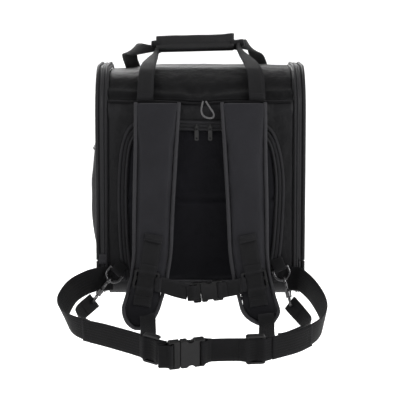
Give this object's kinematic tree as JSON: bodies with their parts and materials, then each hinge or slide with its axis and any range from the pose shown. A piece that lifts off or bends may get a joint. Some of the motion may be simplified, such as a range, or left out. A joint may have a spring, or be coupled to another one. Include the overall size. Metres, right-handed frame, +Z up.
{
  "type": "backpack pet carrier bag",
  "caption": "Soft-sided box-shaped pet carrier worn as a backpack, with padded shoulder straps, sternum strap, waist belt, carry handle and zipped end doors.",
  "frame": {"origin": "centre of the carry grip, 387 mm above the underside of the base and on the bag's middle plane front to back", "axes": "+Z up, -Y out of the harness side, +X to the right when the harness side is looked at"},
  "size_m": [0.408, 0.4783, 0.4732],
  "materials": {
    "shell_fabric": "woven, satin sheen",
    "pad_fabric": "padded, matt",
    "mesh": "open mesh",
    "webbing": "ribbed weave",
    "piping": "woven",
    "zip_tape": "coil zip on tape",
    "zip_metal": "satin black",
    "buckle": "moulded",
    "hook_metal": "gunmetal",
    "spring_steel": "drawn wire",
    "board": "sheet",
    "mat": "fleece",
    "hang_cord": "twisted cord",
    "grip_wrap": "padded wrap"
  },
  "bodies": {
    "root": {"back_pad": "pad_fabric", "back_wall": "shell_fabric", "back_zip_tape": "zip_tape", "base_board": "board", "base_panel": "shell_fabric", "body_pipings": "piping", "corner_webbings": "webbing", "d_rings": "hook_metal", "end_gussets": "shell_fabric", "end_sills": "shell_fabric", "floor_mat": "mat", "front_mesh": "mesh", "front_wall": "shell_fabric", "front_window_binding": "piping", "handle_webbings": "webbing", "hang_loop": "hang_cord", "hook_bodies": "hook_metal", "hook_eyes": "hook_metal", "shoulder_pad_left": "pad_fabric", "shoulder_pad_right": "pad_fabric", "shoulder_webbings": "webbing", "stiffener_hoops": "spring_steel", "strap_tails": "webbing", "tether_clip": "hook_metal", "tether_strap": "webbing", "top_cover": "shell_fabric", "top_hem": "shell_fabric"},
    "door_left": {"door_left_panel": "shell_fabric", "door_left_mesh": "mesh", "door_left_piping": "piping", "door_left_pocket": "shell_fabric"},
    "door_right": {"door_right_panel": "shell_fabric", "door_right_mesh": "mesh", "door_right_piping": "piping"},
    "waist_belt": {"waist_belt_left": "webbing", "waist_belt_right": "webbing", "waist_adjusters": "buckle", "waist_plug": "buckle", "waist_socket_webbing": "webbing"},
    "waist_socket": {"waist_socket": "buckle"},
    "waist_arm_upper": {"waist_arm_upper": "buckle"},
    "waist_arm_lower": {"waist_arm_lower": "buckle"},
    "sternum_strap": {"sternum_sliders": "buckle", "sternum_strap_left": "webbing", "sternum_strap_right": "webbing", "sternum_socket": "buckle"},
    "sternum_plug": {"sternum_plug": "buckle"},
    "sternum_arm_upper": {"sternum_arm_upper": "buckle"},
    "sternum_arm_lower": {"sternum_arm_lower": "buckle"},
    "handle": {"handle_grip": "grip_wrap"},
    "hook_gate_left": {"hook_gate_left": "hook_metal"},
    "hook_gate_right": {"hook_gate_right": "hook_metal"},
    "zip_slider_back_left": {"zip_slider_back_left": "zip_metal"},
    "zip_pull_back_left": {"zip_pull_back_left": "zip_metal"},
    "zip_slider_back_right": {"zip_slider_back_right": "zip_metal"},
    "zip_pull_back_right": {"zip_pull_back_right": "zip_metal"},
    "zip_slider_door_left": {"zip_slider_door_left": "zip_metal"},
    "zip_pull_door_left": {"zip_pull_door_left": "zip_metal"},
    "zip_slider_door_right": {"zip_slider_door_right": "zip_metal"},
    "zip_pull_door_right": {"zip_pull_door_right": "zip_metal"}
  },
  "joints": [
    {"name": "door_left_hinge", "type": "hinge", "parent": "root", "child": "door_left", "pos_m": [-0.162, 0, -0.3352], "axis": [0, -1, 0], "range_deg": [0, 100]},
    {"name": "door_right_hinge", "type": "hinge", "parent": "root", "child": "door_right", "pos_m": [0.162, 0, -0.3352], "axis": [0, 1, 0], "range_deg": [0, 100]},
    {"name": "waist_belt_hinge", "type": "hinge", "parent": "root", "child": "waist_belt", "pos_m": [0, -0.1275, -0.363], "axis": [1, 0, 0], "range_deg": [-4, 30]},
    {"name": "waist_buckle_open", "type": "slide", "parent": "waist_belt", "child": "waist_socket", "axis": [0.9657, 0.2502, 0.07], "range_m": [0, 0.03], "deforming": ["waist_socket_webbing"]},
    {"name": "waist_arm_upper_pinch", "type": "hinge", "parent": "waist_belt", "child": "waist_arm_upper", "pos_m": [-0.02846, -0.3391, -0.42189], "axis": [-0.2598, 0.93, 0.26], "range_deg": [0, 6], "stiffness_Nm_per_rad": 0.3},
    {"name": "waist_arm_lower_pinch", "type": "hinge", "parent": "waist_belt", "child": "waist_arm_lower", "pos_m": [-0.02845, -0.3311, -0.45049], "axis": [0.2598, -0.93, -0.26], "range_deg": [0, 6], "stiffness_Nm_per_rad": 0.3},
    {"name": "sternum_height", "type": "slide", "parent": "root", "child": "sternum_strap", "axis": [0, 0, 1], "range_m": [-0.004, 0.01]},
    {"name": "sternum_buckle_open", "type": "slide", "parent": "sternum_strap", "child": "sternum_plug", "axis": [-0.994, 0, -0.1093], "range_m": [0, 0.022], "deforming": ["sternum_strap_left"]},
    {"name": "sternum_arm_upper_pinch", "type": "hinge", "parent": "sternum_plug", "child": "sternum_arm_upper", "pos_m": [0.00118, -0.163, -0.36933], "axis": [0, 1, 0], "range_deg": [0, 6], "stiffness_Nm_per_rad": 0.15},
    {"name": "sternum_arm_lower_pinch", "type": "hinge", "parent": "sternum_plug", "child": "sternum_arm_lower", "pos_m": [0.003, -0.163, -0.38592], "axis": [0, -1, 0], "range_deg": [0, 6], "stiffness_Nm_per_rad": 0.15},
    {"name": "handle_drop", "type": "slide", "parent": "root", "child": "handle", "axis": [0, 0, -1], "range_m": [0, 0.016], "deforming": ["handle_webbings"]},
    {"name": "zip_back_left_run", "type": "slide", "parent": "root", "child": "zip_slider_back_left", "axis": [-1, 0, 0], "range_m": [0, 0.018]},
    {"name": "zip_back_right_run", "type": "slide", "parent": "root", "child": "zip_slider_back_right", "axis": [1, 0, 0], "range_m": [0, 0.01]},
    {"name": "zip_door_left_run", "type": "slide", "parent": "root", "child": "zip_slider_door_left", "axis": [0, 0, 1], "range_m": [0, 0.18]},
    {"name": "zip_door_right_run", "type": "slide", "parent": "root", "child": "zip_slider_door_right", "axis": [0, 0, 1], "range_m": [0, 0.18]},
    {"name": "zip_back_left_pull", "type": "hinge", "parent": "zip_slider_back_left", "child": "zip_pull_back_left", "pos_m": [-0.006, -0.1252, -0.1245], "axis": [-1, 0, 0], "range_deg": [0, 120]},
    {"name": "zip_back_right_pull", "type": "hinge", "parent": "zip_slider_back_right", "child": "zip_pull_back_right", "pos_m": [0.015, -0.1252, -0.1245], "axis": [-1, 0, 0], "range_deg": [0, 120]},
    {"name": "zip_door_left_pull", "type": "hinge", "parent": "zip_slider_door_left", "child": "zip_pull_door_left", "pos_m": [-0.153, 0.1233, -0.303], "axis": [1, 0, 0], "range_deg": [0, 170]},
    {"name": "zip_door_right_pull", "type": "hinge", "parent": "zip_slider_door_right", "child": "zip_pull_door_right", "pos_m": [0.153, 0.1233, -0.303], "axis": [1, 0, 0], "range_deg": [0, 170]},
    {"name": "hook_gate_left_open", "type": "hinge", "parent": "root", "child": "hook_gate_left", "pos_m": [-0.15259, -0.14839, -0.37639], "axis": [-0.7693, -0.0146, 0.6387], "range_deg": [0, 25], "stiffness_Nm_per_rad": 0.02},
    {"name": "hook_gate_right_open", "type": "hinge", "parent": "root", "child": "hook_gate_right", "pos_m": [0.13466, -0.14867, -0.37768], "axis": [-0.9646, 0.0551, -0.2578], "range_deg": [0, 25], "stiffness_Nm_per_rad": 0.02}
  ]
}
